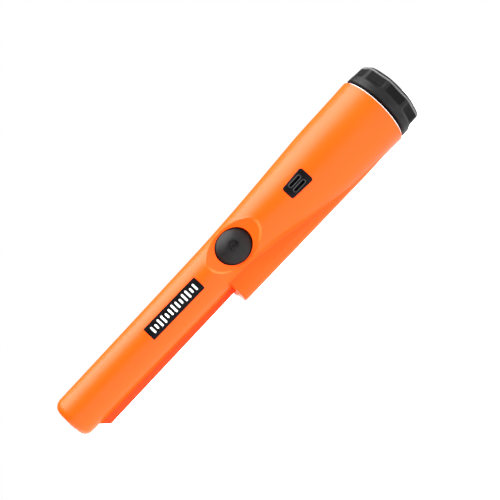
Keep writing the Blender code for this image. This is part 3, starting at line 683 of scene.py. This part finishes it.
def rounded_width(along, half_length, widths, corner):
    """Half the width of a plate with rounded corners, for its widths at the tip's and the cap's end."""
    share = (along / half_length + 1) / 2
    past = max(abs(along) - half_length + corner, 0.0)
    return widths[0] + (widths[1] - widths[0]) * share - corner + math.sqrt(max(corner**2 - past**2, 0.0))


def face_block(name, x0, half_length, widths, corner, cells, low, high, material):
    """A plate that follows the housing's round side, from the lift low to high(along, across, half width)."""
    bm = bmesh.new()
    bmesh.ops.create_grid(bm, x_segments=cells[0], y_segments=cells[1], size=1.0)
    for vert in bm.verts:
        u = min(abs(vert.co.x), 1.0)
        along = math.copysign(half_length * (1 - (1 - u) ** 1.5), vert.co.x)
        half_width = rounded_width(along, half_length, widths, corner)
        across = half_width * vert.co.y
        vert.co = on_face(x0, along, across, high(along, across, half_width))
    grown = bmesh.ops.extrude_face_region(bm, geom=bm.faces[:])["geom"]
    to_face = face_frame(x0).inverted()
    for vert in (part for part in grown if isinstance(part, bmesh.types.BMVert)):
        here = to_face @ vert.co
        vert.co = on_face(x0, here.x, here.z, low)
    bmesh.ops.remove_doubles(bm, verts=bm.verts, dist=0.000001)
    bmesh.ops.recalc_face_normals(bm, faces=bm.faces)
    return closed_piece(bm, name, material)


WINDOW_HALF_LENGTH = 0.0070
WINDOW_WIDTHS = (0.0036, 0.0044)
SLOT_HALF_LENGTH = 0.0036
SLOT_HALF_WIDTH = 0.00075
SLOT_OFFSET = 0.0016


def grille_lift(along, across, half_width):
    """The grille's relief: a softened edge, a raised rim and a lip round each slot."""
    from_edge = min(half_width - abs(across), WINDOW_HALF_LENGTH - abs(along))
    edge = -0.00022 * (1 - min(from_edge / 0.00025, 1.0)) ** 2
    rim = 0.00016 * (1 - min(max((from_edge - 0.0006) / 0.00025, 0.0), 1.0))
    past = max(abs(along) - SLOT_HALF_LENGTH + SLOT_HALF_WIDTH, 0.0)
    from_slot = math.hypot(past, min(abs(across - SLOT_OFFSET), abs(across + SLOT_OFFSET))) - SLOT_HALF_WIDTH
    lip = 0.00022 * min(max(1.6 - abs(from_slot - 0.0002) / 0.00022, 0.0), 1.0)
    return 0.00010 + edge + rim + lip


def stadium(half_length, half_width, offset, steps=12):
    """A slot's outline with round ends."""
    points = []
    for side, start in ((1, -90), (-1, 90)):
        for step in range(steps + 1):
            angle = math.radians(start + 180 * step / steps)
            x = side * (half_length - half_width) + half_width * math.cos(angle)
            points.append((x, offset + half_width * math.sin(angle)))
    return points


def grille_black():
    """Near-black plastic, with a painted highlight in grey round the rim of each slot."""
    finish = Finish("grille_black", Specular_IOR_Level=0.07)
    place = finish.place.moved(face_frame(WINDOW_X).translation, turn=(FACE_TILT, 0, 0))
    past = (place.part("X").math("ABSOLUTE") - (SLOT_HALF_LENGTH - SLOT_HALF_WIDTH)).math("MAXIMUM", 0.0)
    beside = place.part("Z").math("ABSOLUTE") - SLOT_OFFSET
    from_rim = ((past * past + beside * beside).math("SQRT") - (SLOT_HALF_WIDTH + 0.00018)).math("ABSOLUTE")
    # Painted highlight: a grey line round the rim of each slot.
    slot_rim_highlight = 1 - from_rim.step(0.00008, 0.00026)
    grain = finish.place.noise(0.0003, 3)
    black = grain.blend((0.002, 0.002, 0.0025), (0.005, 0.005, 0.0055))
    finish.feed(Base_Color=(slot_rim_highlight * 0.8).blend(black, (0.06, 0.06, 0.062)))
    return finish.feed(Roughness=0.32 + grain * 0.12, Normal=grain.bump(0.00002))


grille = face_block("grille", WINDOW_X, WINDOW_HALF_LENGTH, WINDOW_WIDTHS, 0.0014, (104, 64), -0.0030,
    grille_lift, grille_black())
for offset in (-SLOT_OFFSET, SLOT_OFFSET):
    slot_outline = stadium(SLOT_HALF_LENGTH, SLOT_HALF_WIDTH, offset)
    combine(grille, extruded("grille_slot", slot_outline, -0.021, -0.012, face_frame(WINDOW_X)))
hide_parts("speaker_grille")
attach(grille, "housing")
membrane_film = moulded("membrane_film", (0.004, 0.004, 0.005), 0.001, 0.00001, 0.6, gloss=0.1)
dress(["grille_membrane"], membrane_film)


# ---------------------------------------------------------------------------------------------------------
# Name plate. A thin black foil plate pressed into a shallow recess on the tube, printed in white with a
# plain row of signal bars.

PLATE_X = 0.0743
PLATE_HALF_LENGTH = 0.0175
PLATE_HALF_WIDTH = 0.00365
PLATE_GAP = 0.00012


def plate_print():
    """Satin black foil with white signal bars, each rounded at its ends."""
    finish = Finish("plate_print", Specular_IOR_Level=0.05)
    middle = face_frame(PLATE_X).translation
    place = finish.place.moved(middle, turn=(FACE_TILT, 0, 0))
    along, across = place.part("X"), place.part("Z")
    pitch = 0.0024
    number = (along * (1 / pitch)).math("ROUND")
    from_bar = (along - number * pitch).math("ABSOLUTE")
    tall = (number * 0.9).math("COSINE").math("ABSOLUTE") * 0.0012 + 0.0006
    over = (across.math("ABSOLUTE") - tall).math("MAXIMUM", 0.0)
    from_line = (from_bar * from_bar + over * over).math("SQRT")
    within = along.math("ABSOLUTE").math("LESS_THAN", 0.0150)
    ink = (1 - from_line.step(0.00048, 0.00058)) * within
    grain = finish.place.noise(0.0005, 3)
    black = grain.blend((0.002, 0.002, 0.003), (0.005, 0.005, 0.006))
    finish.feed(Base_Color=ink.blend(black, (0.86, 0.86, 0.85)))
    relief = ink * 0.8 + grain * 0.2
    return finish.feed(Roughness=0.32 + grain * 0.12 + ink * 0.1, Normal=relief.bump(0.00002))


recess_widths = [PLATE_HALF_WIDTH + PLATE_GAP] * 2
recess = face_block("plate_recess", PLATE_X, PLATE_HALF_LENGTH + PLATE_GAP, recess_widths, 0.0005, (40, 12),
    -0.00070, lambda along, across, half_width: 0.0008, black_abs)
combine(front_case, recess)
plate = face_block("plate", PLATE_X, PLATE_HALF_LENGTH, [PLATE_HALF_WIDTH] * 2, 0.0004, (64, 20), -0.00062,
    lambda along, across, half_width: 0.00006, plate_print())
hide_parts("name_plate")
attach(plate, "housing")


# ---------------------------------------------------------------------------------------------------------
# Power button. Moulded in dark grey rubber with a coned crown, a thumb dimple and a skirt that seals in the
# front shell. It slides in along the direction that the button's side faces.


def button_rubber():
    finish = Finish("button_rubber", Specular_IOR_Level=0.15)
    fine = finish.place.noise(0.00025, 3, 0.6)
    dust = finish.place.noise(0.003, 3).step(0.5, 0.8)
    finish.feed(Base_Color=(fine * 0.4 + dust * 0.6).blend((0.006, 0.0055, 0.006), (0.014, 0.0125, 0.013)))
    return finish.feed(Roughness=0.46 + fine * 0.12 + dust * 0.08, Normal=fine.bump(0.00004))


crown, rim = 0.0129, 0.0083
button_profile = [
    (crown - 0.00150, 0.0),
    (crown - 0.00148, 0.0009),
    (crown - 0.00138, 0.0016),
    (crown - 0.00108, 0.0021),
    (crown - 0.00052, 0.0024),
    (crown - 0.00012, 0.0026),
    (crown, 0.0029),
    (crown - 0.00006, 0.0033),
    (crown - 0.00030, 0.0042),
    (crown - 0.00080, 0.0053),
    (crown - 0.00145, 0.0066),
    (crown - 0.00220, 0.0078),
    (crown - 0.00285, 0.0087),
    (crown - 0.00345, 0.0093),
    (crown - 0.00400, 0.0096),
    (rim, BUTTON_HALF_LENGTH - 0.00005),
    (rim - 0.0005, BUTTON_HALF_LENGTH),
    (0.0062, BUTTON_HALF_LENGTH),
    (0.0059, BUTTON_HALF_LENGTH - 0.0003),
    (0.0059, 0.0022),
    (0.0057, 0.0016),
    (0.00355, 0.0016),
    (0.00325, 0.0013),
    (0.00325, 0.0),
]
outward = face_frame(BUTTON_X) @ Matrix.Rotation(-math.pi / 2, 4, "Z")
oval_squash = Matrix.Diagonal((1.0, 1.0, BUTTON_HALF_WIDTH / BUTTON_HALF_LENGTH, 1.0))
button = closed_piece(turned(button_profile, outward @ oval_squash, 128), "button", button_rubber())
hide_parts("power_button")
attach(button, "button")


# ---------------------------------------------------------------------------------------------------------
# Battery cap. Black moulded screw cap: nine shallow finger flats round its outer half, a coin slot in its
# end and a coarse thread on its spigot. A white sealing ring is squeezed between it and the housing.

CAP_X = 0.2165
CAP_CENTRE = 0.0199
CAP_DEPTH = 0.0125
CAP_RADIUS = 0.0195
CAP_END_RADIUS = 0.0189
CAP_ROUNDING = 0.0019
GRIP_FLAT = 0.0181
GRIP_START = math.radians(-52.0)
GRIP_STEP = math.radians(40.0)
SPIGOT_RADIUS = 0.0169
SPIGOT_LENGTH = 0.0087
CAP_BORE = 0.0157


def cap_profile():
    """The cap's outline from the middle of its end round to the bottom of its bore."""
    points = [(CAP_DEPTH, 0.0)]
    points += [(CAP_DEPTH, radius) for radius in spaced(0.0020, CAP_END_RADIUS - CAP_ROUNDING, 0.0018)]
    for angle in spaced(0, math.pi / 2, math.pi / 24) + [math.pi / 2]:
        points.append((CAP_DEPTH - CAP_ROUNDING * (1 - math.cos(angle)),
            CAP_END_RADIUS - CAP_ROUNDING * (1 - math.sin(angle))))
    for along in spaced(CAP_DEPTH - CAP_ROUNDING - 0.0003, 0.0015, -0.0004):
        taper = (CAP_RADIUS - CAP_END_RADIUS) * along / (CAP_DEPTH - CAP_ROUNDING)
        points.append((along, CAP_RADIUS - taper))
    points += [(0.0011, CAP_RADIUS - 0.00010), (0.0007, CAP_RADIUS - 0.00030), (0.0003, CAP_RADIUS - 0.0007)]
    points += [(0.0, CAP_RADIUS - 0.0012), (0.0, SPIGOT_RADIUS + 0.0003), (-0.0002, SPIGOT_RADIUS)]
    points += [(along, SPIGOT_RADIUS) for along in spaced(-0.0004, -SPIGOT_LENGTH + 0.0003, -0.00025)]
    points += [(-SPIGOT_LENGTH + 0.0003, SPIGOT_RADIUS), (-SPIGOT_LENGTH, SPIGOT_RADIUS - 0.0003)]
    points += [(-SPIGOT_LENGTH, CAP_BORE + 0.0003), (-SPIGOT_LENGTH + 0.0003, CAP_BORE), (0.0086, CAP_BORE)]
    return points + [(0.0089, CAP_BORE - 0.0003), (0.0089, 0.0)]


def grip_radius(along, radius, angle):
    """The cap's radius with the finger flats pressed into its outer half."""
    within = ((angle - GRIP_START) % GRIP_STEP) - GRIP_STEP / 2
    start = min(max((along - 0.0044) / 0.0018, 0.0), 1.0)
    flat = GRIP_FLAT / math.cos(within) - 0.00015 * math.cos(within * 4.5)
    flat -= max(CAP_ROUNDING - (CAP_DEPTH - along), 0.0) ** 2 * 260
    pressed = soft_min(radius, flat, 0.00022)
    return radius + (pressed - radius) * start


def cap_mesh():
    bm = turned(cap_profile(), Matrix.Identity(4), 270)
    for vert in bm.verts:
        along, radius = vert.co.x, math.hypot(vert.co.y, vert.co.z)
        angle = math.atan2(vert.co.z, -vert.co.y)
        if along > 0.0045 and radius > CAP_END_RADIUS - CAP_ROUNDING:
            wanted = grip_radius(along, radius, -angle)
        elif along < -0.0003 and abs(radius - SPIGOT_RADIUS) < 0.0001:
            phase = ((CAP_X + along) / THREAD_PITCH - math.atan2(vert.co.z, vert.co.y) / (2 * math.pi)) % 1.0
            fade = min((-0.0008 - along) / 0.0008, (along + SPIGOT_LENGTH - 0.0004) / 0.0008, 1.0)
            wanted = radius + thread_ridge((phase + 0.5) % 1.0) * max(fade, 0.0)
        else:
            continue
        vert.co.y *= wanted / radius
        vert.co.z *= wanted / radius
    bmesh.ops.transform(bm, matrix=along_x(CAP_X, CAP_CENTRE), verts=bm.verts)
    return bm


def cap_plastic():
    """Black plastic with darker flats, a painted shadow on its leading edge and a painted highlight on its
    outer rim.
    """
    finish = Finish("cap_plastic", Specular_IOR_Level=0.11)
    fine = finish.place.noise(0.0004, 4, 0.65)
    wear = finish.place.noise(0.004, 4, 0.6).step(0.35, 0.75)
    spot = finish.place.moved(along_x(CAP_X, CAP_CENTRE).translation)
    around = (spot.part("Y") * spot.part("Y") + spot.part("Z") * spot.part("Z")).math("SQRT")
    flats = spot.part("X").step(0.0052, 0.0060) * (1 - spot.part("X").step(0.0106, 0.0112))
    flats = flats * (1 - around.step(GRIP_FLAT + 0.00060, GRIP_FLAT + 0.00075))
    base = (fine * 0.4 + wear * 0.6).blend((0.006, 0.006, 0.0065), (0.013, 0.013, 0.0135))
    base = flats.blend(base, (0.003, 0.003, 0.0033))
    # Painted highlight: a lighter line round the outer rim of the end, varied a little by the wear noise.
    rim = spot.part("X").step(0.0103, 0.0106) * (1 - spot.part("X").step(0.0112, 0.0116))
    rim = rim * around.step(0.0160, 0.0165)
    base = (rim * (wear * 0.3 + 0.7)).blend(base, (0.13, 0.13, 0.13))
    # Painted shadow: the leading edge next to the sealing ring is painted near black.
    finish.feed(Base_Color=spot.part("X").step(0.0002, 0.0012).blend((0.001, 0.001, 0.001), base))
    return finish.feed(Roughness=0.40 + fine * 0.12 + wear * 0.06 + flats * 0.3, Normal=fine.bump(0.00005))


cap = closed_piece(cap_mesh(), "cap", cap_plastic())
slot_frame = along_x(CAP_X + CAP_DEPTH, CAP_CENTRE) @ Matrix.Rotation(math.pi / 2, 4, "Z")
coin = [(z, x) for x, z in reversed(stadium(0.0090, 0.0011, 0.0))]
combine(cap, extruded("coin_slot", coin, -0.002, 0.0018, slot_frame))
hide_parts("battery_cap")
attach(cap, "cap")

ring_profile = []
ring_corners = ((0.00025, 0.0190, 0), (0.0002, 0.0190, 90), (0.0002, 0.0175, 180), (0.00025, 0.0175, 270))
for corner_x, corner_r, start in ring_corners:
    for step in range(5):
        angle = math.radians(start + 22.5 * step)
        ring_profile.append((corner_x + 0.0002 * math.cos(angle), corner_r + 0.0002 * math.sin(angle)))
seal = closed_piece(turned(ring_profile, along_x(0.21525, CAP_CENTRE), 192, closed=True), "seal",
    nylon("white_silicone", (0.86, 0.86, 0.85)))
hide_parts("cap_gasket")
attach(seal, "sealing_ring")


# ---------------------------------------------------------------------------------------------------------
# Studio. A pale floor that gives off light, a white backdrop that lights the probe only weakly, and three
# soft lights: a large one overhead and two small ones.


def floor_paint():
    """A white light table, which lights the probe from below."""
    finish = Finish("pale_floor", Roughness=0.9, Emission_Color=(1, 1, 1, 1), Emission_Strength=2.0)
    cloud = finish.place.noise(0.8, 2)
    return finish.feed(Base_Color=cloud.blend((0.28, 0.28, 0.28), (0.32, 0.32, 0.32)))


def studio_floor():
    bm = bmesh.new()
    bmesh.ops.create_grid(bm, x_segments=1, y_segments=1, size=6.0)
    floor = closed_piece(bm, "studio_floor", floor_paint())


def soft_light(name, place, size, power):
    """A rectangular soft light aimed at the middle of the probe."""
    lamp = bpy.data.lights.new(name, "AREA")
    lamp.shape = "RECTANGLE"
    lamp.size, lamp.size_y = size
    lamp.energy = power
    item = bpy.data.objects.new(name, lamp)
    item.location = place
    item.rotation_euler = (Vector((0, 0, 0.02)) - Vector(place)).to_track_quat("-Z", "Y").to_euler()
    bpy.context.scene.collection.objects.link(item)


def studio_world():
    """A white backdrop all round, which lights the probe less than it shows."""
    world = bpy.data.worlds.new("studio")
    bpy.context.scene.world = world
    world.use_nodes = True
    tree = world.node_tree
    backdrop = Wire(tree, tree.nodes["Background"].outputs[0])
    fill = backdrop.node("Background", {}, {"Color": (1, 1, 1, 1), "Strength": 0.06})
    tree.nodes["Background"].inputs["Color"].default_value = (1, 1, 1, 1)
    seen = backdrop.node("LightPath", {}, {}, "Is Camera Ray")
    mix = backdrop.node("MixShader", {}, {0: seen, 1: fill, 2: backdrop})
    tree.links.new(mix.socket, tree.nodes["World Output"].inputs["Surface"])


def camera_at(azimuth, elevation, distance, roll, target, lens, shift):
    """Looks at the target from an azimuth and elevation, with the camera rolled about its line of sight."""
    a, e = math.radians(azimuth), math.radians(elevation)
    back = Vector((math.sin(a) * math.cos(e), -math.cos(a) * math.cos(e), math.sin(e)))
    camera = bpy.data.objects.new("camera", bpy.data.cameras.new("camera"))
    camera.data.lens = lens
    camera.data.shift_x, camera.data.shift_y = shift
    camera.data.clip_start = 0.01
    camera.data.clip_end = 50
    camera.location = target + back * distance
    turn = (-back).to_track_quat("-Z", "Y") @ Matrix.Rotation(math.radians(roll), 4, "Z").to_quaternion()
    camera.rotation_euler = turn.to_euler()
    bpy.context.scene.collection.objects.link(camera)
    bpy.context.scene.camera = camera


studio_floor()
studio_world()
soft_light("overhead", (0.0, -0.07, 0.75), (1.0, 0.75), 26.0)
soft_light("key", (-0.36, -0.66, 0.64), (0.4, 0.4), 0.6)
soft_light("edge", (0.52, -0.45, 0.20), (0.3, 0.3), 1.3)
camera_at(-6.4, 0.0, 0.65, -46.05, Vector((0.0042, 0, 0.0186)), 94.6, (0.0161, 0.0010))
bpy.context.scene.view_settings.view_transform = "Standard"
